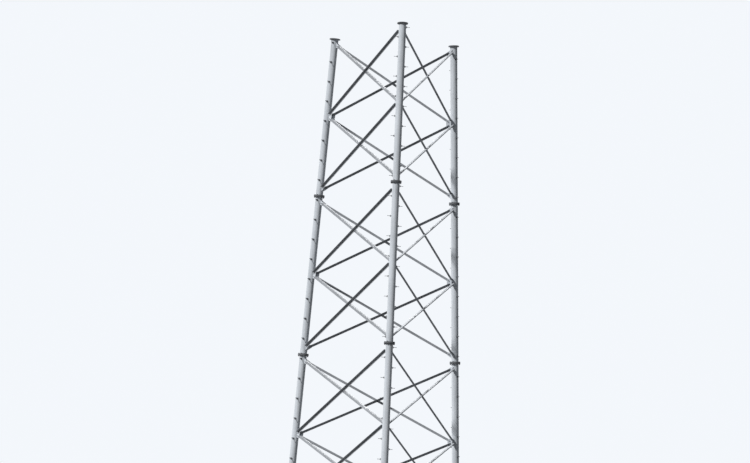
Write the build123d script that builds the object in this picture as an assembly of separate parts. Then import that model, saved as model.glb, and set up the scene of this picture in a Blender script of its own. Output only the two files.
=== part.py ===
from build123d import *
import math
import os

# Lattice tower on three inclined tubular legs, bolted together from sections that stack leg on leg.
# Millimetres, +Z up. The origin is on the tower's axis at ground level, under the base plates.
# The front leg stands towards -Y and the rear face lies towards +Y. Each leg and each face is
# modelled once, as the right leg and the rear face, and turned by thirds about the tower's axis.

# Overall form, measured between the leg axes
section_count = 6
section_height = 6096.0
base_width = 8229.6
width_step = 609.6

# Leg tube, with few flats round it because the tower has so much of it
tube_radius = 136.5
tube_wall = 9.3
tube_sides = 16

# Flange at each end of a leg section, and the bolt holes in the bare top ones, their centres kept
# a distance from its edge
flange_radius = 206.0
flange_thickness = 32.0
flange_hole_count = 6
flange_hole_edge = 34.0
flange_hole_radius = 16.0

# Base plate under each leg, its anchor holes near the corners, and its ribs
base_plate_side = 610.0
base_plate_thickness = 50.0
anchor_hole_count = 4
anchor_hole_edge = 90.0
anchor_hole_radius = 26.0
rib_count = 4
rib_height = 140.0
rib_thickness = 19.0
rib_step = 40.0
rib_edge_gap = 15.0

# Angle bars of the bracing: two crossed pairs on each face of a section. Where their lines meet the
# leg axes, they keep off the joints and pass the middle of the section, to meet outside the tube.
brace_leg = 88.9
brace_thickness = 6.4
brace_top_offset = 185.0
brace_bottom_offset = 200.0
brace_middle_pass = 35.0
brace_tube_gap = 20.0
filler_side = 70.0

# Gusset plates that carry the brace ends, welded to the tube in the plane of each face
gusset_thickness = 12.7
gusset_lap = 110.0
gusset_margin = 10.0
gusset_weld_half = 95.0

# Legs and faces in the order of their turns about the tower's axis
leg_names = ["right", "left", "front"]
face_names = ["rear", "left", "right"]
third = 360 / len(leg_names)
right_leg_turn = third / 4


def face_width(z):
    """Distance between two leg axes at height z."""
    return base_width - width_step * z / section_height


def leg_distance(z):
    """Distance from the tower's axis to a leg's axis at height z."""
    return face_width(z) / math.sqrt(3)


def leg_point(z):
    """Point on the axis of the right leg at height z."""
    return Vector(leg_distance(z), 0, z).rotate(Axis.Z, right_leg_turn)


def leg_plane(z):
    """Plane square to the right leg's axis, centred on that axis at height z."""
    tangent = Vector(0, 1, 0).rotate(Axis.Z, right_leg_turn)
    return Plane(leg_point(z), x_dir=tangent, z_dir=leg_point(section_height) - leg_point(0))


def face_foot(z):
    """Point half way between the two legs of the rear face at height z."""
    return Vector(0, leg_distance(z) / 2, z)


def face_plane():
    """Plane of the rear face: X from the right leg to the left one, Y up the slope, Z outward."""
    across = Vector(-1, 0, 0)
    slope = face_foot(section_height) - face_foot(0)
    return Plane(face_foot(0), x_dir=across, z_dir=across.cross(slope))


def face_point(side, z):
    """Point on a leg's axis in the rear face's plane: side is -1 at the right leg, 1 at the left."""
    slope_length = (face_foot(z) - face_foot(0)).length
    return Vector(side * face_width(z) / 2, slope_length)


def leg_direction(side):
    """Direction up a leg's axis in the rear face's plane."""
    return (face_point(side, section_height) - face_point(side, 0)).normalized()


def brace_direction(side, start, end):
    """Direction of the brace that leaves one leg at height start and meets the other at height end."""
    return (face_point(-side, end) - face_point(side, start)).normalized()


def run_to(distance, side, along):
    """Length along a brace line from the leg's axis to the given distance square to that axis."""
    rise = along.dot(leg_direction(side))
    return distance / math.sqrt(1 - rise**2)


def setback(side, along):
    """Length from the leg's axis to the brace's end, where its nearer corner clears the tube."""
    rise = abs(along.dot(leg_direction(side)))
    return run_to(tube_radius + brace_tube_gap + brace_leg / 2 * rise, side, along)


def lap_corners(side, start, end):
    """Corners of a gusset at the far end of a brace's lap, below and above the brace."""
    along = brace_direction(side, start, end)
    reach = face_point(side, start) + along * (setback(side, along) + gusset_lap)
    across = Vector(-along.Y, along.X) * (brace_leg / 2 + gusset_margin)
    return [reach - across, reach + across]


def weld_corners(side, start, end):
    """Corners of a gusset inside the tube wall, below and above the brace's line."""
    along = brace_direction(side, start, end)
    on_wall = face_point(side, start) + along * run_to(tube_radius - tube_wall / 2, side, along)
    up_leg = leg_direction(side) * gusset_weld_half
    return [on_wall - up_leg, on_wall + up_leg]


def gusset(side, *braces):
    """Plate in the plane of the rear face, round the laps and the weld of the braces that end on it."""
    corners = []
    for start, end in braces:
        corners += lap_corners(side, start, end)
        corners += weld_corners(side, start, end)
    outline = make_hull(Polyline(*corners).edges())
    return face_plane() * extrude(outline, gusset_thickness / 2, both=True)


def brace_spans(section):
    """Heights where the brace lines of a section's lower and upper crossed pair meet the leg axes."""
    bottom = section * section_height
    top = bottom + section_height
    middle = (bottom + top) / 2
    lower_pair = (bottom + brace_bottom_offset, middle + brace_middle_pass)
    upper_pair = (middle - brace_middle_pass, top - brace_top_offset)
    return lower_pair, upper_pair


def gussets(section, side):
    """The three gussets at one end of the rear face, in one section."""
    (low, lower_end), (upper_start, high) = brace_spans(section)
    return [
        gusset(side, (low, lower_end)),
        gusset(side, (lower_end, low), (upper_start, high)),
        gusset(side, (high, upper_start)),
    ]


def ring(radius, thickness):
    """Upright ring round the bore of the leg tube, with the tube's number of flats."""
    outline = RegularPolygon(radius, tube_sides, major_radius=False)
    bore = RegularPolygon(tube_radius - tube_wall, tube_sides, major_radius=False)
    return extrude(outline - bore, thickness)


def holes(radius, reach, count, depth, start_angle=0):
    """Cylinders that drill holes down from a plate's top, in a circle that reaches out to their centres."""
    drill = Cylinder(radius, depth, align=(Align.CENTER, Align.CENTER, Align.MAX))
    return PolarLocations(reach, count, start_angle=start_angle) * drill


def top_flange(section):
    """Flange under a section's upper joint face; the top ones are bare, so their holes show."""
    flange = Pos(0, 0, -flange_thickness) * ring(flange_radius, flange_thickness)
    if section == section_count - 1:
        reach = flange_radius - flange_hole_edge
        flange -= holes(flange_hole_radius, reach, flange_hole_count, flange_thickness)
    return flange


def rib():
    """Upright plate from the tube to near the base plate's edge, with a sloping outer edge."""
    inner = tube_radius - tube_wall / 2
    outer = base_plate_side / 2 - rib_edge_gap
    outline = Polygon(
        (inner, 0),
        (outer, 0),
        (outer, rib_step),
        (tube_radius + rib_step, rib_height),
        (inner, rib_height),
        align=None,
    )
    return Plane.XZ * extrude(outline, rib_thickness / 2, both=True)


def base_plate():
    """Square plate on the ground, its anchor holes between the ribs."""
    plate = Box(
        base_plate_side,
        base_plate_side,
        base_plate_thickness,
        align=(Align.CENTER, Align.CENTER, Align.MAX),
    )
    reach = (base_plate_side / 2 - anchor_hole_edge) * math.sqrt(2)
    between = 180 / rib_count
    return plate - holes(
        anchor_hole_radius, reach, anchor_hole_count, base_plate_thickness, between
    )


def leg_foot():
    """Base plate and ribs under the right leg."""
    ribs = PolarLocations(0, rib_count) * rib()
    foot = leg_point(0)
    return Pos(foot.X, foot.Y, base_plate_thickness) * Rot(0, 0, right_leg_turn) * (base_plate() + ribs)


def right_leg(section):
    """Section of the right leg: tube, flanges and the gussets of the two faces that meet there."""
    lower = leg_plane(section * section_height)
    upper = leg_plane((section + 1) * section_height)
    tube = lower * ring(tube_radius, (upper.origin - lower.origin).length)
    if section:
        leg = tube + lower * ring(flange_radius, flange_thickness)
    else:
        leg = split(tube, Plane.XY.offset(base_plate_thickness)) + leg_foot()
    next_face = [Rot(0, 0, -third) * plate for plate in gussets(section, 1)]
    return leg + upper * top_flange(section) + gussets(section, -1) + next_face


def angle_bar(length):
    """Angle bar along X, over the gussets: one leg flat on them, the other standing out at the +Y edge."""
    seat = gusset_thickness / 2
    edge = brace_leg / 2
    outline = Polygon(
        (-edge, seat),
        (edge, seat),
        (edge, seat + brace_leg),
        (edge - brace_thickness, seat + brace_leg),
        (edge - brace_thickness, seat + brace_thickness),
        (-edge, seat + brace_thickness),
        align=None,
    )
    return Plane.YZ * extrude(outline, length)


def brace(side, low, high):
    """Brace that climbs from one leg to the other, its standing leg along its upper edge: outside the
    gussets from the right leg, and inside them from the left leg, where the same bar is turned over."""
    foot = face_point(side, low)
    head = face_point(-side, high)
    along = brace_direction(side, low, high)
    start = setback(side, along)
    end = (head - foot).length - setback(-side, along)
    bar = Pos(start, 0, 0) * angle_bar(end - start)
    if side > 0:
        bar = Rot(180, 0, 0) * bar
    return Pos(foot) * Rot(0, 0, math.degrees(math.atan2(along.Y, along.X))) * bar


def filler(low, high):
    """Square plate that fills the gap between two braces where they cross."""
    foot = face_point(-1, low)
    head = face_point(1, high)
    share = foot.X / (foot.X - head.X)
    return Pos(foot + (head - foot) * share) * Box(filler_side, filler_side, gusset_thickness)


def crossed_pair(low, high):
    """Two braces joined by the filler where they cross."""
    return brace(-1, low, high) + brace(1, low, high) + filler(low, high)


def rear_face(section):
    """The two crossed pairs of the rear face in one section."""
    lower_pair, upper_pair = brace_spans(section)
    return face_plane() * (crossed_pair(*lower_pair) + crossed_pair(*upper_pair))


os.makedirs("parts", exist_ok=True)
for section in range(section_count):
    leg = right_leg(section)
    face = rear_face(section)
    for turn, name in enumerate(leg_names):
        export_step(Rot(0, 0, turn * third) * leg, f"parts/leg_{name}_{section + 1}.step")
    for turn, name in enumerate(face_names):
        export_step(Rot(0, 0, turn * third) * face, f"parts/bracing_{name}_{section + 1}.step")
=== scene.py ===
# Lattice tower on three leaning tubular legs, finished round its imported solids. Metres, +Z up.
# Each piece is modelled once, on the right leg or the rear face, and turned by thirds about Z.
import math

import bpy
from mathutils import Matrix, Vector


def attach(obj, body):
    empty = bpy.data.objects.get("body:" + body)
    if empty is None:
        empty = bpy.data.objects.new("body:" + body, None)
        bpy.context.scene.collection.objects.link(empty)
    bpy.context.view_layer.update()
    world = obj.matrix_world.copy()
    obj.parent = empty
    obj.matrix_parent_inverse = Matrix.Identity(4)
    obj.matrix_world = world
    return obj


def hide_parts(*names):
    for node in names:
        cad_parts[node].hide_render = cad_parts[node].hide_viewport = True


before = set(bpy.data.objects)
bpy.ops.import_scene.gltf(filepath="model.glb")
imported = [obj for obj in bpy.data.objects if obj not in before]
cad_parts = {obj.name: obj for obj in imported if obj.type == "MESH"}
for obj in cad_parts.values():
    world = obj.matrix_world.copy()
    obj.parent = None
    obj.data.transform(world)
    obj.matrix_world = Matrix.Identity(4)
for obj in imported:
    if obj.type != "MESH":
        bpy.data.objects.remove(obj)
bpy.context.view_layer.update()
bpy.ops.object.select_all(action="DESELECT")


# Base plates. Each leg stands on a thick square steel plate, drilled near its corners for the
# anchor bolts and stiffened by four ribs between it and the tube. Plate and ribs are welded to the
# lowest section of the leg in the shop, and the whole of it is hot-dip galvanised afterwards.
leg_names = ["right", "left", "front"]
base_width = 8.2296
width_step = 0.6096
section_height = 6.096
third = 360 / len(leg_names)
right_leg_turn = math.radians(third / 4)
tube_radius = 0.1365
tube_wall = 0.0093
base_plate_side = 0.610
base_plate_thickness = 0.050
base_plate_chamfer = 0.003
anchor_hole_radius = 0.026
anchor_hole_edge = 0.090
drill_sides = 24
cut_over = 0.010
rib_count = 4
rib_height = 0.140
rib_thickness = 0.019
rib_chamfer = 0.0015
rib_step = 0.040
rib_edge_gap = 0.015
rib_weld = 0.010
rib_weld_short = 0.012
weld_sunk = 0.001
smooth_angle = math.radians(35)
flat_angle = math.radians(1)


def face_width(z):
    """Distance between two leg axes at height z."""
    return base_width - width_step * z / section_height


def leg_point(z):
    """Point on the right leg's axis at height z. The legs stand on an equal-sided triangle."""
    reach = face_width(z) / math.sqrt(3)
    return Vector((reach * math.cos(right_leg_turn), reach * math.sin(right_leg_turn), z))


def turned_about(axis, degrees):
    """Turn about one of the axes."""
    return Matrix.Rotation(math.radians(degrees), 4, axis)


def thirds(turn):
    """Turn about the tower's axis, from the right leg or the rear face to another one."""
    return turned_about("Z", third * turn)


def pick(*pieces):
    """Selects these pieces alone, the first of them active."""
    bpy.ops.object.select_all(action="DESELECT")
    for piece in pieces:
        piece.select_set(True)
    bpy.context.view_layer.objects.active = pieces[0]


def copied(piece, place):
    """A copy of a piece with its own mesh, put at a place."""
    twin = piece.copy()
    twin.data = piece.data.copy()
    twin.data.transform(place)
    bpy.context.scene.collection.objects.link(twin)
    return twin


def joined(pieces):
    """One piece made of several, with smooth round sides and sharp edges."""
    pick(*pieces)
    bpy.ops.object.join()
    bpy.ops.object.shade_smooth_by_angle(angle=smooth_angle)
    return bpy.context.object


def shaped():
    """Ends the work in edit mode, with the faces turned outwards and the place in the mesh."""
    bpy.ops.mesh.select_all(action="SELECT")
    bpy.ops.mesh.normals_make_consistent(inside=False)
    bpy.ops.object.mode_set(mode="OBJECT")
    bpy.ops.object.transform_apply()
    return bpy.context.object


def square_plate(side, foot, thickness, chamfer):
    """Square plate about Z that lies on height foot, its edges chamfered."""
    bpy.ops.mesh.primitive_plane_add(size=side, location=(0, 0, foot))
    bpy.ops.object.mode_set(mode="EDIT")
    bpy.ops.mesh.extrude_region_move(TRANSFORM_OT_translate={"value": (0, 0, thickness)})
    bpy.ops.mesh.select_all(action="SELECT")
    bpy.ops.mesh.bevel(offset=chamfer, segments=1)
    return shaped()


def cut_plate(ends, chamfer=0.0):
    """Flat plate, half above and half below Z = 0, that spans between straight ends. Each end has
    its middle, its direction in that plane, its length and its thickness."""
    for number, (middle, direction, length, thickness) in enumerate(ends):
        angle = math.atan2(direction.y, direction.x)
        bpy.ops.mesh.primitive_plane_add(
            size=length, location=(middle.x, middle.y, 0), rotation=(math.pi / 2, 0, angle)
        )
        if number == 0:
            bpy.ops.object.mode_set(mode="EDIT")
        bpy.ops.transform.resize(value=(1, 1, thickness / length), center_override=(0, 0, 0))
    bpy.ops.mesh.select_all(action="SELECT")
    bpy.ops.mesh.convex_hull()
    bpy.ops.mesh.select_all(action="SELECT")
    bpy.ops.mesh.dissolve_limited(angle_limit=flat_angle)
    if chamfer:
        bpy.ops.mesh.select_all(action="SELECT")
        bpy.ops.mesh.bevel(offset=chamfer, segments=1)
    return shaped()


def drill(radius, x, y, top, thickness):
    """Round bit that goes through a plate of this thickness, whose upper side is at height top."""
    bpy.ops.mesh.primitive_cylinder_add(
        vertices=drill_sides,
        radius=radius,
        depth=thickness + 2 * cut_over,
        location=(x, y, top - thickness / 2),
        rotation=(0, 0, math.pi / drill_sides),
    )
    bpy.ops.object.transform_apply()
    return bpy.context.object


def cut_out(piece, cutters):
    """Takes the shapes of the cutters out of a piece, such as drills that leave round holes."""
    pick(*cutters)
    bpy.ops.object.join()
    cutter = bpy.context.object
    pick(piece)
    cut = piece.modifiers.new("cut", "BOOLEAN")
    cut.object = cutter
    bpy.ops.object.modifier_apply(modifier=cut.name)
    bpy.data.objects.remove(cutter)
    return piece


def anchor_spots():
    """Middles of the anchor holes, near the corners of the base plate."""
    corner = base_plate_side / 2 - anchor_hole_edge
    return [(x, y) for x in (-corner, corner) for y in (-corner, corner)]


def base_plate():
    """Square plate on the ground with its anchor holes."""
    square = square_plate(base_plate_side, 0, base_plate_thickness, base_plate_chamfer)
    drills = [
        drill(anchor_hole_radius, x, y, base_plate_thickness, base_plate_thickness)
        for x, y in anchor_spots()
    ]
    return cut_out(square, drills)


def rib():
    """Plate from the tube to near the base plate's edge, its foot on Y = 0, with a sloping top."""
    inner = tube_radius - tube_wall / 2
    knee = tube_radius + rib_step
    outer = base_plate_side / 2 - rib_edge_gap
    upright = Vector((0, 1))
    ends = [
        (Vector((outer, rib_step / 2)), upright, rib_step, rib_thickness),
        (Vector((knee, rib_height / 2)), upright, rib_height, rib_thickness),
        (Vector((inner, rib_height / 2)), upright, rib_height, rib_thickness),
    ]
    return cut_plate(ends, rib_chamfer)


def rib_bead():
    """Weld bead along both sides of a rib's foot, which stops short of the rib's end."""
    length = base_plate_side / 2 - rib_edge_gap - rib_weld_short - tube_radius
    middle = tube_radius + length / 2
    along = Vector((1, 0))
    ends = [
        (Vector((middle, -weld_sunk)), along, length, rib_thickness + 2 * rib_weld),
        (Vector((middle, rib_weld)), along, length, rib_thickness),
    ]
    return cut_plate(ends)


def leg_foot():
    """Base plate with its ribs, about Z."""
    parts = [base_plate()]
    stand = Matrix.Translation((0, 0, base_plate_thickness)) @ turned_about("X", 90)
    for master in (rib(), rib_bead()):
        for number in range(rib_count):
            parts.append(copied(master, turned_about("Z", number * 360 / rib_count) @ stand))
        bpy.data.objects.remove(master)
    return joined(parts)


class Finish:
    """One output of a finish's nodes. Arithmetic on it adds Math nodes."""

    # A Mix node's sockets for colours
    mix_from = 6
    mix_to = 7
    mixed = 2

    def __init__(self, tree, socket=None):
        self.tree = tree
        self.socket = socket

    def node(self, kind, settings, inputs, output=0):
        """Adds a node, its settings first and then the values or links of its sockets."""
        node = self.tree.nodes.new(kind)
        for name, value in settings.items():
            setattr(node, name, value)
        for name, value in inputs.items():
            if isinstance(value, Finish):
                self.tree.links.new(value.socket, node.inputs[name])
            else:
                node.inputs[name].default_value = value
        return Finish(self.tree, node.outputs[output])

    def maths(self, operation, *values):
        """Adds a Math node on these values."""
        return self.node("ShaderNodeMath", {"operation": operation}, dict(enumerate(values)))

    def __add__(self, other):
        return self.maths("ADD", self, other)

    def __sub__(self, other):
        return self.maths("SUBTRACT", self, other)

    def __rsub__(self, other):
        return self.maths("SUBTRACT", other, self)

    def __mul__(self, other):
        return self.maths("MULTIPLY", self, other)

    __radd__ = __add__
    __rmul__ = __mul__

    def rising(self, low, high):
        """0 below low, 1 above high, with a smooth step between them."""
        values = {"Value": self, "From Min": low, "From Max": high}
        return self.node("ShaderNodeMapRange", {"interpolation_type": "SMOOTHSTEP"}, values)

    def noise(self, scale, detail):
        """Noise of that many grains to the metre, where self is the place that it is read at."""
        values = {"Vector": self, "Scale": scale, "Detail": detail}
        return self.node("ShaderNodeTexNoise", {}, values)

    def crystals(self, size, feature, output):
        """Crystals of a size, where self is the place that they are read at."""
        values = {"Vector": self, "Scale": 1 / size}
        return self.node("ShaderNodeTexVoronoi", {"feature": feature}, values, output)

    def stretched(self, *scale):
        """The place self, scaled along each axis."""
        return self.node("ShaderNodeMapping", {}, {"Vector": self, "Scale": scale})

    def blend(self, start, colour):
        """One colour going over to another as the share self goes from 0 to 1."""
        values = {"Factor": self, self.mix_from: start, self.mix_to: colour}
        return self.node("ShaderNodeMix", {"data_type": "RGBA"}, values, self.mixed)


# Patterns in the zinc: grains to the metre, their detail, and the values between which they rise
cloud_grains = 0.9
cloud_detail = 5
cloud_range = (0.32, 0.7)
mottle_grains = 11
mottle_detail = 4
mottle_range = (0.3, 0.75)
streak_stretch = (16, 16, 0.45)
streak_detail = 3
streak_range = (0.45, 0.75)
fine_grains = 140
fine_detail = 3

# Distances from a joint of the legs over which the streaks weaken, and over which the flanges'
# near-black colour ends, partly darker zinc and partly painted shade under the flanges and bolts
near_joint_range = (0.1, 0.6)
at_joint_range = (0.036, 0.048)

# Shares of the patterns in the colour, the roughness and the relief
cloud_share = 0.4
mottle_share = 0.2
facet_share = 0.4
streak_share = 0.2
joint_streak_share = 0.4
flange_dark_and_shade_share = 0.97
flange_facet_share = 0.12
least_roughness = 0.45
weathered_roughness = 0.2
facet_roughness = 0.1
edge_relief = 0.4
grain_relief = 0.5
relief_strength = 0.25
relief_depth = 0.0006

# How the zinc takes the light, the same all over
zinc_scatter = 1.0
zinc_metallic = 0.05
zinc_specular = 0.25


def zinc_coat(name, bright, dull, stained, crystal, flange_dark_and_shade=None):
    """Galvanised finish: two greys in clouds and in crystals of a size, streaks that are strongest
    near the joints of the legs, and on a leg a near-black colour on the thick flanges there,
    partly darker zinc and partly painted shade under the flanges and between their bolts."""
    finish = bpy.data.materials.new(name)
    finish.use_nodes = True
    tree = finish.node_tree
    shader = tree.nodes["Principled BSDF"]
    place = Finish(tree).node("ShaderNodeTexCoord", {}, {}, "Object")
    height = place.node("ShaderNodeSeparateXYZ", {}, {"Vector": place}, "Z")
    clouds = place.noise(cloud_grains, cloud_detail).rising(*cloud_range)
    mottle = place.noise(mottle_grains, mottle_detail).rising(*mottle_range)
    streaks = place.stretched(*streak_stretch).noise(1, streak_detail).rising(*streak_range)
    grain = place.noise(fine_grains, fine_detail)
    facets = place.crystals(crystal, "F1", "Color")
    facet = facets.node("ShaderNodeSeparateColor", {}, {"Color": facets}, "Red")
    edges = place.crystals(crystal, "DISTANCE_TO_EDGE", "Distance")
    stacked = height * (1 / section_height) + 0.5
    from_joint = stacked.maths("FRACT", stacked) - 0.5
    gap = from_joint.maths("ABSOLUTE", from_joint) * section_height
    near_joint = 1 - gap.rising(*near_joint_range)
    at_joint = 1 - gap.rising(*at_joint_range)
    weathering = clouds * cloud_share + mottle * mottle_share + facet * facet_share
    streaking = streaks * (near_joint * joint_streak_share + streak_share)
    colour = streaking.blend(weathering.blend(bright, dull), stained)
    # The flanges at a joint are painted near black: partly darker zinc, and partly painted shade
    # under the flanges and between their bolts
    if flange_dark_and_shade:
        flange_dark_and_shade_mix = at_joint * (flange_dark_and_shade_share - facet * flange_facet_share)
        colour = flange_dark_and_shade_mix.blend(colour, flange_dark_and_shade)
    roughness = weathering * weathered_roughness + facet * facet_roughness + least_roughness
    relief = edges * edge_relief + grain * grain_relief
    bump = {"Strength": relief_strength, "Distance": relief_depth, "Height": relief}
    normal = place.node("ShaderNodeBump", {}, bump)
    tree.links.new(colour.socket, shader.inputs["Base Color"])
    tree.links.new(roughness.socket, shader.inputs["Roughness"])
    tree.links.new(normal.socket, shader.inputs["Normal"])
    shader.inputs["Diffuse Roughness"].default_value = zinc_scatter
    shader.inputs["Metallic"].default_value = zinc_metallic
    shader.inputs["Specular IOR Level"].default_value = zinc_specular
    return finish


def fitted(piece, name, finish):
    """Names a finished piece, gives it its coat, and fixes it to the tower."""
    piece.name = piece.data.name = name
    piece.data.materials.clear()
    piece.data.materials.append(finish)
    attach(piece, "root")


plate_zinc = zinc_coat(
    "plate zinc",
    bright=(0.50, 0.515, 0.535, 1),
    dull=(0.31, 0.32, 0.335, 1),
    stained=(0.19, 0.185, 0.175, 1),
    crystal=0.026,
)
foot = leg_foot()
foot_place = Matrix.Translation(leg_point(0)) @ Matrix.Rotation(right_leg_turn, 4, "Z")
for turn, name in enumerate(leg_names):
    base = copied(foot, thirds(turn) @ foot_place)
    fitted(base, f"base_plate_{name}", plate_zinc)
    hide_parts(f"leg_{name}_1")
bpy.data.objects.remove(foot)


# Leg tubes. Each leg is six lengths of round steel tube that lean in towards the tower's axis,
# with thick ring flanges welded on where the lengths meet. The flanges at the very top wait for
# the next lengths, so their bolt holes are open.
section_count = 6
tube_sides = 40
flange_radius = 0.206
flange_thickness = 0.032
flange_edge = 0.002
flange_hole_edge = 0.034
flange_hole_radius = 0.016
flange_bolt_count = 6
tube_weld = 0.009
foot_weld_sunk = 0.010
foot_weld_top = 0.004
weld_hollow_width = 0.45
weld_hollow_rise = 0.4
foot_weld_hollow_rise = 0.5
merge_distance = 1e-5


def leg_place(z):
    """Place on the right leg's axis at height z: Z up the leg, Y inward, X along the tangent."""
    up = (leg_point(section_height) - leg_point(0)).normalized()
    tangent = Vector((-math.sin(right_leg_turn), math.cos(right_leg_turn), 0))
    axes = Matrix((tangent, up.cross(tangent), up)).transposed().to_4x4()
    return Matrix.Translation(leg_point(z)) @ axes


def leg_length():
    """Length of a leg section along its axis."""
    return (leg_point(section_height) - leg_point(0)).length


def lathed(profile, sides, hollow=False):
    """Round or many-sided piece about Z, drawn up ring by ring through its radii and heights. A
    hollow one has a profile that comes back to its start."""
    last_radius, last_height = profile[0]
    bpy.ops.mesh.primitive_circle_add(
        vertices=sides, radius=last_radius, location=(0, 0, last_height), fill_type="NOTHING"
    )
    bpy.ops.object.mode_set(mode="EDIT")
    for radius, height in profile[1:]:
        rise = (0, 0, height - last_height)
        widen = radius / last_radius
        bpy.ops.mesh.extrude_edges_move(TRANSFORM_OT_translate={"value": rise})
        bpy.ops.transform.resize(value=(widen, widen, 1), center_override=(0, 0, height))
        last_radius, last_height = radius, height
    bpy.ops.mesh.select_all(action="SELECT")
    if hollow:
        bpy.ops.mesh.remove_doubles(threshold=merge_distance)
    else:
        bpy.ops.mesh.fill_holes(sides=sides)
    return shaped()


def flanged_end(start, step, bore):
    """Profile of one end of a tube, from its joint face to the tube beyond the flange's weld."""
    rim = flange_radius - flange_edge
    weld_start = start + step * flange_thickness
    hollow = tube_radius + tube_weld * weld_hollow_width
    return [
        (bore, start),
        (rim, start),
        (flange_radius, start + step * flange_edge),
        (flange_radius, weld_start - step * flange_edge),
        (rim, weld_start),
        (tube_radius + tube_weld, weld_start),
        (hollow, weld_start + step * tube_weld * weld_hollow_rise),
        (tube_radius, weld_start + step * tube_weld),
    ]


def footed_end(bore):
    """Profile of the lowest end, welded down on the base plate."""
    sunk = base_plate_thickness - foot_weld_sunk
    top = base_plate_thickness + foot_weld_top
    hollow = tube_radius + tube_weld * weld_hollow_width
    return [
        (bore, sunk),
        (tube_radius + tube_weld, sunk),
        (tube_radius + tube_weld, top),
        (hollow, top + tube_weld * foot_weld_hollow_rise),
        (tube_radius, top + tube_weld),
    ]


def flange_spoke(number):
    """Turn about a leg's axis to one of the bolts of a flange."""
    return turned_about("Z", number * 360 / flange_bolt_count)


def leg_tube(section):
    """Tube of one section with its flanges, on the right leg's axis."""
    bore = tube_radius - tube_wall
    lower = flanged_end(0, 1, bore) if section else footed_end(bore)
    upper = flanged_end(leg_length(), -1, bore)
    tube = lathed(lower + upper[::-1] + lower[:1], tube_sides, hollow=True)
    if section == section_count - 1:
        drills = []
        for number in range(flange_bolt_count):
            spot = flange_spoke(number) @ Vector((flange_radius - flange_hole_edge, 0, 0))
            hole = (flange_hole_radius, spot.x, spot.y, leg_length(), flange_thickness)
            drills.append(drill(*hole))
        cut_out(tube, drills)
    tube.data.transform(leg_place(section * section_height))
    return joined([tube])


leg_zinc = zinc_coat(
    "leg zinc",
    bright=(0.77, 0.80, 0.835, 1),
    dull=(0.62, 0.65, 0.685, 1),
    stained=(0.29, 0.30, 0.315, 1),
    crystal=0.020,
    # Near black: partly darker zinc, partly painted shade under the flanges and their bolts
    flange_dark_and_shade=(0.115, 0.12, 0.13, 1),
)
for section in range(section_count):
    master = leg_tube(section)
    for turn, name in enumerate(leg_names):
        tube = copied(master, thirds(turn))
        fitted(tube, f"leg_tube_{name}_{section + 1}", leg_zinc)
        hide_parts(f"leg_{name}_{section + 1}")
    bpy.data.objects.remove(master)


# Gussets. Flat steel plates that carry the ends of the braces, two sets to each leg because two
# faces meet there: one plate near each joint and one at the middle of a section. Each is welded
# to the tube along its edge, before the whole section is dipped in zinc.
gusset_thickness = 0.0127
gusset_chamfer = 0.001
gusset_lap = 0.110
gusset_margin = 0.010
gusset_weld_half = 0.095
gusset_root_short = 0.006
gusset_toe_short = 0.018
brace_leg = 0.0889
brace_top_offset = 0.185
brace_bottom_offset = 0.200
brace_middle_pass = 0.035
brace_tube_gap = 0.020


def face_foot(z):
    """Point half way between the two legs of the rear face at height z."""
    return Vector((0, face_width(z) / math.sqrt(3) / 2, z))


def face_place():
    """Place of the rear face: X from the right leg to the left one, Y up the slope, Z outward."""
    across = Vector((-1, 0, 0))
    slope = (face_foot(section_height) - face_foot(0)).normalized()
    axes = Matrix((across, slope, across.cross(slope))).transposed().to_4x4()
    return Matrix.Translation(face_foot(0)) @ axes


def face_point(side, z):
    """Point on a leg's axis in the rear face: side is -1 at the right leg, 1 at the left."""
    return Vector((side * face_width(z) / 2, (face_foot(z) - face_foot(0)).length))


def leg_direction(side):
    """Direction up a leg's axis in the rear face."""
    return (face_point(side, section_height) - face_point(side, 0)).normalized()


def brace_direction(side, start, end):
    """Direction of the brace from one leg at height start to the other at height end."""
    return (face_point(-side, end) - face_point(side, start)).normalized()


def run_to(distance, side, along):
    """Length along a brace line from the leg's axis to the given distance square to that axis."""
    return distance / math.sqrt(1 - along.dot(leg_direction(side)) ** 2)


def setback(side, along):
    """Length from the leg's axis to the brace's end, where its nearer corner clears the tube."""
    rise = abs(along.dot(leg_direction(side)))
    return run_to(tube_radius + brace_tube_gap + brace_leg / 2 * rise, side, along)


def brace_spans(section):
    """Heights where the lines of a section's lower and upper braces meet the leg axes."""
    bottom = section * section_height
    top = bottom + section_height
    middle = (bottom + top) / 2
    lower_pair = (bottom + brace_bottom_offset, middle + brace_middle_pass)
    upper_pair = (middle - brace_middle_pass, top - brace_top_offset)
    return lower_pair, upper_pair


def gusset(side, *braces):
    """Plate in the rear face round the ends of its braces, and the weld bead at the tube."""
    up_leg = leg_direction(side)
    outward = Vector((up_leg.y, -up_leg.x)) * -side
    lap_length = brace_leg + 2 * gusset_margin
    weld_length = 2 * gusset_weld_half
    bead_thickness = gusset_thickness + 2 * tube_weld
    root_length = weld_length - 2 * gusset_root_short
    toe_length = weld_length - 2 * gusset_toe_short
    ends = []
    bead_ends = []
    for start, end in braces:
        along = brace_direction(side, start, end)
        across = Vector((-along.y, along.x))
        on_axis = face_point(side, start)
        lap = on_axis + along * (setback(side, along) + gusset_lap)
        on_wall = on_axis + along * run_to(tube_radius - tube_wall / 2, side, along)
        toe = on_wall + outward * (tube_wall / 2 + tube_weld)
        ends.append((lap, across, lap_length, gusset_thickness))
        ends.append((on_wall, up_leg, weld_length, gusset_thickness))
        bead_ends.append((on_wall, up_leg, root_length, bead_thickness))
        bead_ends.append((toe, up_leg, toe_length, gusset_thickness))
    return [cut_plate(ends, gusset_chamfer), cut_plate(bead_ends)]


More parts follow.
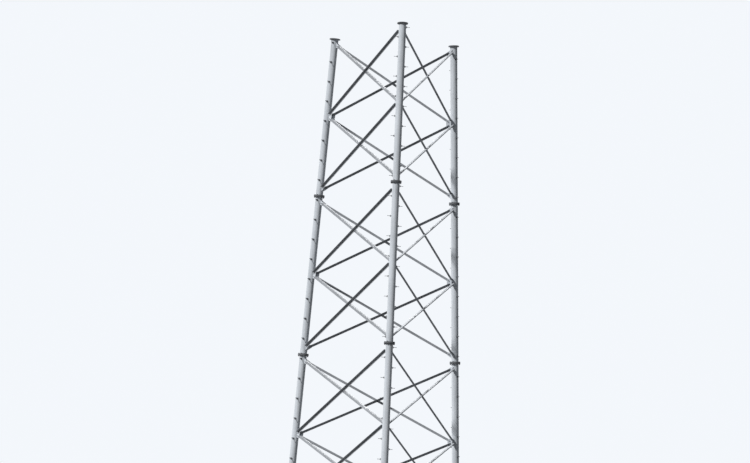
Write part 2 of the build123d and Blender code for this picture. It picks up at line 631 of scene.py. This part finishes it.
def face_gussets(section, side):
    """The three gussets at one end of the rear face, in one section."""
    (low, lower_end), (upper_start, high) = brace_spans(section)
    plates = gusset(side, (low, lower_end))
    plates += gusset(side, (lower_end, low), (upper_start, high))
    plates += gusset(side, (high, upper_start))
    for flat in plates:
        flat.data.transform(face_place())
    return plates


for section in range(section_count):
    next_face = face_gussets(section, 1)
    for flat in next_face:
        flat.data.transform(thirds(-1))
    master = joined(face_gussets(section, -1) + next_face)
    for turn, name in enumerate(leg_names):
        plates = copied(master, thirds(turn))
        fitted(plates, f"gussets_{name}_{section + 1}", leg_zinc)
        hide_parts(f"leg_{name}_{section + 1}")
    bpy.data.objects.remove(master)


# Anchor bolts. Four threaded steel rods come up out of the footing through each base plate. A
# square washer and a nut hold the plate down on them, with a lock nut on top. They are galvanised
# too, with finer crystals than the plate's, and like every bolt they are painted near black as
# painted shade of the bolts and the shadows round them.
anchor_rod_radius = 0.024
anchor_rod_foot = 0.004
anchor_rod_top = 0.172
anchor_rod_sides = 16
anchor_thread_pitch = 0.010
anchor_nut_width = 0.075
anchor_nut_height = 0.038
anchor_nut_chamfer = 0.005
anchor_lock_height = 0.026
anchor_lock_turn = 17
anchor_washer_side = 0.100
anchor_washer_thickness = 0.012
anchor_washer_chamfer = 0.0015
hexagon_sides = 6
thread_start_share = 0.93
thread_root_share = 0.9
thread_tip_share = 0.8


def hexagon(width, foot, height, chamfer):
    """Hexagon of a bolt head or nut, its top corners taken off."""
    corner = width / math.sqrt(3)
    top = foot + height
    profile = [(corner, foot), (corner, top - chamfer / 2), (corner - chamfer, top)]
    return lathed(profile, hexagon_sides)


def threaded(radius, foot, top, pitch, sides):
    """Threaded rod, its end chamfered."""
    profile = [(radius * thread_start_share, foot)]
    height = foot
    while height + pitch < top - pitch / 2:
        profile.append((radius, height + pitch / 2))
        profile.append((radius * thread_root_share, height + pitch))
        height += pitch
    profile.append((radius, top - pitch / 2))
    profile.append((radius * thread_tip_share, top))
    return lathed(profile, sides)


def anchor_bolt():
    """Washer, nuts and rod of one anchor bolt, about Z."""
    nut_foot = base_plate_thickness + anchor_washer_thickness
    lock_foot = nut_foot + anchor_nut_height
    square_washer = square_plate(
        anchor_washer_side, base_plate_thickness, anchor_washer_thickness, anchor_washer_chamfer
    )
    nut = hexagon(anchor_nut_width, nut_foot, anchor_nut_height, anchor_nut_chamfer)
    lock = hexagon(anchor_nut_width, lock_foot, anchor_lock_height, anchor_nut_chamfer)
    lock.data.transform(turned_about("Z", anchor_lock_turn))
    rod = threaded(
        anchor_rod_radius, anchor_rod_foot, anchor_rod_top, anchor_thread_pitch, anchor_rod_sides
    )
    return joined([square_washer, nut, lock, rod])


# Near black, much darker than galvanised zinc: painted shade of the bolts, nuts and step clips and
# of the shadows they throw on the steel round them
bolt_zinc_and_shade = zinc_coat(
    "bolt zinc and shade",
    bright=(0.24, 0.25, 0.265, 1),
    dull=(0.12, 0.125, 0.135, 1),
    stained=(0.08, 0.078, 0.076, 1),
    crystal=0.007,
)
anchor = anchor_bolt()
for turn, name in enumerate(leg_names):
    bolts = []
    for x, y in anchor_spots():
        place = thirds(turn) @ foot_place @ Matrix.Translation((x, y, 0))
        bolts.append(copied(anchor, place))
    fitted(joined(bolts), f"anchor_bolts_{name}", bolt_zinc_and_shade)
bpy.data.objects.remove(anchor)


# Flange bolts. Six heavy steel bolts draw each pair of flanges together, their heads on the upper
# flange and their nuts under the lower one, with a washer at both ends and some thread to spare.
flange_bolt_radius = 0.015
flange_bolt_width = 0.046
flange_bolt_chamfer = 0.003
flange_bolt_sides = 12
flange_head_height = 0.019
flange_nut_height = 0.024
flange_washer_radius = 0.028
flange_washer_thickness = 0.004
flange_washer_sides = 16
flange_thread_spare = 0.016
flange_thread_pitch = 0.0055
washer_edge_share = 0.25
flange_bolt_turn = 37
flange_joint_turn = 23


def washer(radius, foot, thickness, sides):
    """Round washer with a broken edge."""
    edge = thickness * washer_edge_share
    flat = radius - edge
    top = foot + thickness
    profile = [(flat, foot), (radius, foot + edge), (radius, top - edge), (flat, top)]
    return lathed(profile, sides)


def flange_bolt():
    """One bolt through both flanges, the joint face at Z = 0."""
    seat = flange_thickness + flange_washer_thickness
    tail_end = seat + flange_nut_height + flange_thread_spare
    under = turned_about("X", 180)
    upper_washer = washer(
        flange_washer_radius, flange_thickness, flange_washer_thickness, flange_washer_sides
    )
    lower_washer = copied(upper_washer, under)
    head = hexagon(flange_bolt_width, seat, flange_head_height, flange_bolt_chamfer)
    nut = hexagon(flange_bolt_width, seat, flange_nut_height, flange_bolt_chamfer)
    nut.data.transform(under)
    tail = threaded(flange_bolt_radius, seat, tail_end, flange_thread_pitch, flange_bolt_sides)
    tail.data.transform(under)
    return joined([upper_washer, lower_washer, head, nut, tail])


bolt = flange_bolt()
reach = Matrix.Translation((flange_radius - flange_hole_edge, 0, 0))
for joint in range(1, section_count):
    joint_place = leg_place(joint * section_height)
    for turn, name in enumerate(leg_names):
        bolts = []
        for number in range(flange_bolt_count):
            tightened = turned_about("Z", flange_bolt_turn * number + flange_joint_turn * joint)
            place = thirds(turn) @ joint_place @ flange_spoke(number) @ reach @ tightened
            bolts.append(copied(bolt, place))
        fitted(joined(bolts), f"flange_bolts_{name}_{joint}", bolt_zinc_and_shade)
bpy.data.objects.remove(bolt)


# Bracing. Rolled steel angles, crossed in pairs on each face, one outside the gussets and one
# inside, with a filler plate between them where they cross. They are dipped by themselves, and
# their thinner steel comes out of the bath with a duller coat of zinc than the legs.
face_names = ["rear", "left", "right"]
brace_zinc = zinc_coat(
    "brace zinc",
    bright=(0.50, 0.52, 0.55, 1),
    dull=(0.30, 0.315, 0.335, 1),
    stained=(0.21, 0.21, 0.215, 1),
    crystal=0.012,
)
for name in face_names:
    for section in range(section_count):
        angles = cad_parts[f"bracing_{name}_{section + 1}"]
        for coat in angles.material_slots:
            coat.material = brace_zinc


# Brace bolts. Two steel bolts hold each end of an angle to its gusset, and one goes through both
# angles and the filler where they cross. They sit on the angle's gauge line, with their heads on
# the angle and their nuts on the far side.
brace_thickness = 0.0064
brace_gauge = 0.0508
brace_bolt_first = 0.030
brace_bolt_pitch = 0.050
brace_bolt_radius = 0.008
brace_bolt_width = 0.027
brace_bolt_chamfer = 0.002
brace_bolt_sides = 12
brace_head_height = 0.010
brace_nut_height = 0.013
brace_thread_spare = 0.008
brace_bolt_turn = 29


def brace_bolt(grip):
    """Bolt with its head on an angle at Z = 0 and its nut under a grip of that thickness."""
    under = Matrix.Translation((0, 0, -grip)) @ turned_about("X", 180)
    tail_end = brace_nut_height + brace_thread_spare
    head = hexagon(brace_bolt_width, 0, brace_head_height, brace_bolt_chamfer)
    nut = hexagon(brace_bolt_width, 0, brace_nut_height, brace_bolt_chamfer)
    nut.data.transform(under)
    profile = [
        (brace_bolt_radius, 0),
        (brace_bolt_radius, tail_end - brace_bolt_chamfer),
        (brace_bolt_radius * thread_tip_share, tail_end),
    ]
    tail = lathed(profile, brace_bolt_sides)
    tail.data.transform(under)
    return joined([head, nut, tail])


def end_bolt_spots(side, low, high):
    """Places of the four end bolts of the brace that climbs from one leg to the other."""
    foot = face_point(side, low)
    head = face_point(-side, high)
    along = brace_direction(side, low, high)
    gauge_line = Vector((-along.y, along.x)) * (brace_leg / 2 - brace_gauge) * -side
    start = setback(side, along)
    end = (head - foot).length - setback(-side, along)
    first = brace_bolt_first
    second = brace_bolt_first + brace_bolt_pitch
    runs = [start + first, start + second, end - first, end - second]
    return [foot + along * run + gauge_line for run in runs]


def crossing_spot(low, high):
    """Place where the gauge lines of a crossed pair meet."""
    foot = face_point(-1, low)
    head = face_point(1, high)
    along = (head - foot).normalized()
    share = foot.x / (foot.x - head.x)
    drop = (brace_gauge - brace_leg / 2) / along.x
    return foot + (head - foot) * share + Vector((0, -abs(drop)))


end_bolt = brace_bolt(brace_thickness + gusset_thickness)
cross_bolt = brace_bolt(2 * brace_thickness + gusset_thickness)
over_angle = gusset_thickness / 2 + brace_thickness
outside = Matrix.Translation((0, 0, over_angle))
inside = turned_about("X", 180) @ outside
for section in range(section_count):
    places = []
    for low, high in brace_spans(section):
        for side, seat in ((-1, outside), (1, inside)):
            for spot in end_bolt_spots(side, low, high):
                places.append((end_bolt, Matrix.Translation(spot.to_3d()) @ seat))
        spot = crossing_spot(low, high)
        places.append((cross_bolt, Matrix.Translation(spot.to_3d()) @ outside))
    for turn, name in enumerate(face_names):
        bolts = []
        for number, (master, place) in enumerate(places):
            tightened = turned_about("Z", brace_bolt_turn * number)
            bolts.append(copied(master, thirds(turn) @ face_place() @ place @ tightened))
        group = joined(bolts)
        fitted(group, f"brace_bolts_{name}_{section + 1}", bolt_zinc_and_shade)
bpy.data.objects.remove(end_bolt)
bpy.data.objects.remove(cross_bolt)


# Step bolts. The way up each leg, in two rows on opposite sides of the tube, one row half a pitch
# above the other. Each is a steel bolt whose head is the stop at its outer end. Its nut holds it
# to a clip of bent plate, which is welded to the tube by its two cheeks.
step_pitch = 0.762
step_first = {90: 0.160, -90: 0.541}
lowest_step = 0.6
step_bar_radius = 0.008
step_bar_foot = 0.004
step_bar_sides = 12
step_reach = 0.135
step_width = 0.027
step_chamfer = 0.003
step_head_height = 0.010
step_nut_height = 0.013
clip_width = 0.056
clip_height = 0.060
clip_stand = 0.032
clip_thickness = 0.008
clip_bend = 0.004
clip_sunk = 0.008


def step_clip():
    """Plate bent to a channel, its back off the tube and its cheeks above and below the bar."""
    across = Vector((1, 0))
    inner_width = clip_width - 2 * clip_thickness
    outer_ends = [
        (Vector((0, clip_stand)), across, clip_width - 2 * clip_bend, clip_height),
        (Vector((0, clip_stand - clip_bend)), across, clip_width, clip_height),
        (Vector((0, -clip_sunk)), across, clip_width, clip_height),
    ]
    inner_height = clip_height + 2 * cut_over
    inner_ends = [
        (Vector((0, clip_stand - clip_thickness)), across, inner_width, inner_height),
        (Vector((0, -clip_sunk - cut_over)), across, inner_width, inner_height),
    ]
    clip = cut_out(cut_plate(outer_ends), [cut_plate(inner_ends)])
    clip.data.transform(turned_about("X", 90))
    return clip


def step_bolt():
    """Step bolt along Z from the tube's surface, in its clip."""
    head_foot = step_reach - step_head_height
    nut = hexagon(step_width, clip_stand, step_nut_height, step_chamfer)
    bar_end = head_foot + step_head_height / 2
    bar = lathed([(step_bar_radius, step_bar_foot), (step_bar_radius, bar_end)], step_bar_sides)
    head = hexagon(step_width, head_foot, step_head_height, step_chamfer)
    return joined([step_clip(), nut, bar, head])


def step_place(section, drop, angle):
    """Place on the right leg's tube, a drop below the section's top, at an angle from outward."""
    top_place = leg_place((section + 1) * section_height)
    round_tube = turned_about("Z", angle - 90)
    on_surface = Matrix.Translation((tube_radius, 0, -drop))
    return top_place @ round_tube @ on_surface @ turned_about("Y", 90)


step = step_bolt()
for section in range(section_count):
    places = []
    for angle, first in step_first.items():
        drop = first
        while drop < leg_length() - flange_thickness:
            if (section + 1) * section_height - drop > lowest_step:
                places.append(step_place(section, drop, angle))
            drop += step_pitch
    for turn, name in enumerate(leg_names):
        group = joined([copied(step, thirds(turn) @ place) for place in places])
        # Near-black coat on clips and bolts: painted shade of each clip and of the bar's shadow on
        # the tube
        fitted(group, f"step_bolts_{name}_{section + 1}", bolt_zinc_and_shade)
bpy.data.objects.remove(step)


# Studio. A pale floor that keeps the tower's shadow, a pale surround behind it, a bright lamp
# from the left and in front, and a weak broad one from behind. The floor's far edge blends into
# the surround, and neither throws more than a little light back on the tower.
surround = (0.90, 0.93, 0.97, 1)
floor_pale = (0.774, 0.795, 0.820, 1)
floor_radius = 260
floor_rim = 40
floor_sides = 96
gathered_floor = (0.13, 0.13, 0.126, 1)
gathered_sky = (0.55, 0.62, 0.72, 1)
gathered_sky_strength = 0.13
lamp_distance = 60
front_lamp = {"turn": -148, "height": 40, "size": 3, "energy": 4.15}
back_lamp = {"turn": 80, "height": 35, "size": 25, "energy": 1.3}


def seen_rays(coat):
    """1 where the camera or a reflection looks, 0 where light is gathered."""
    camera_ray = coat.node("ShaderNodeLightPath", {}, {}, "Is Camera Ray")
    rays = camera_ray.socket.node.outputs
    glossy = Finish(coat.tree, rays["Is Glossy Ray"])
    through = Finish(coat.tree, rays["Is Transmission Ray"])
    return coat.maths("MAXIMUM", camera_ray, coat.maths("MAXIMUM", glossy, through))


def show_by_ray(tree, kind, gathered, seen, output):
    """Two looks: one where light is gathered, and one that the camera and reflections see."""
    gathered = Finish(tree).node(kind, {}, gathered)
    seen = gathered.node(kind, {}, seen)
    looks = {0: seen_rays(gathered), 1: gathered, 2: seen}
    shown = gathered.node("ShaderNodeMixShader", {}, looks)
    tree.links.new(shown.socket, tree.nodes[output].inputs["Surface"])


def light_tower(turn, height, size, energy):
    """Hangs a far-off lamp at a turn about the tower and a height above the ground, in degrees."""
    turn = math.radians(turn)
    height = math.radians(height)
    level = Vector((math.cos(turn), math.sin(turn), 0)) * math.cos(height)
    towards_lamp = level + Vector((0, 0, math.sin(height)))
    bpy.ops.object.light_add(type="SUN", location=towards_lamp * lamp_distance)
    lamp = bpy.context.object
    lamp.data.energy = energy
    lamp.data.angle = math.radians(size)
    lamp.rotation_euler = towards_lamp.to_track_quat("Z", "Y").to_euler()


bpy.ops.mesh.primitive_circle_add(vertices=floor_sides, radius=floor_radius, fill_type="NGON")
floor = bpy.context.object
floor.name = "floor"
bpy.ops.object.mode_set(mode="EDIT")
bpy.ops.mesh.select_all(action="SELECT")
bpy.ops.mesh.inset(thickness=floor_rim)
bpy.ops.object.mode_set(mode="OBJECT")
paving = bpy.data.materials.new("floor")
paving.use_nodes = True
paving.node_tree.nodes.remove(paving.node_tree.nodes["Principled BSDF"])
gathered = {"Color": gathered_floor}
seen = {"Color": floor_pale}
show_by_ray(paving.node_tree, "ShaderNodeBsdfDiffuse", gathered, seen, "Material Output")
floor.data.materials.append(paving)

world = bpy.data.worlds.new("surround")
bpy.context.scene.world = world
world.use_nodes = True
gathered = {"Color": gathered_sky, "Strength": gathered_sky_strength}
seen = {"Color": surround, "Strength": 1}
show_by_ray(world.node_tree, "ShaderNodeBackground", gathered, seen, "World Output")

light_tower(**front_lamp)
light_tower(**back_lamp)
bpy.context.scene.view_settings.view_transform = "Standard"


# Camera. It stands far off and a little above the ground, and looks up at the upper part of the
# tower through a long lens, tilted by a few degrees.
camera_distance = 170.6
camera_height = 3.456
camera_turn = math.radians(4.04)
yaw = math.radians(3.873)
pitch = math.radians(8.523)
roll = math.radians(2.651)
focal_pixels = 4560
image_width = 750
sensor_width = 36
farthest_seen = 2000

bpy.ops.object.camera_add()
camera = bpy.context.object
camera.data.sensor_width = sensor_width
camera.data.lens = focal_pixels * sensor_width / image_width
camera.data.clip_end = farthest_seen
ahead = Vector((math.sin(yaw) * math.cos(pitch), math.cos(yaw) * math.cos(pitch), math.sin(pitch)))
level = Vector((math.cos(yaw), -math.sin(yaw), 0))
up = level.cross(ahead)
right = math.cos(roll) * level + math.sin(roll) * up
top = math.cos(roll) * up - math.sin(roll) * level
stand = Vector((
    -camera_distance * math.sin(camera_turn),
    -camera_distance * math.cos(camera_turn),
    camera_height,
))
axes = Matrix((right, top, -ahead)).transposed().to_4x4()
camera.matrix_world = Matrix.Translation(stand) @ axes
bpy.context.scene.camera = camera
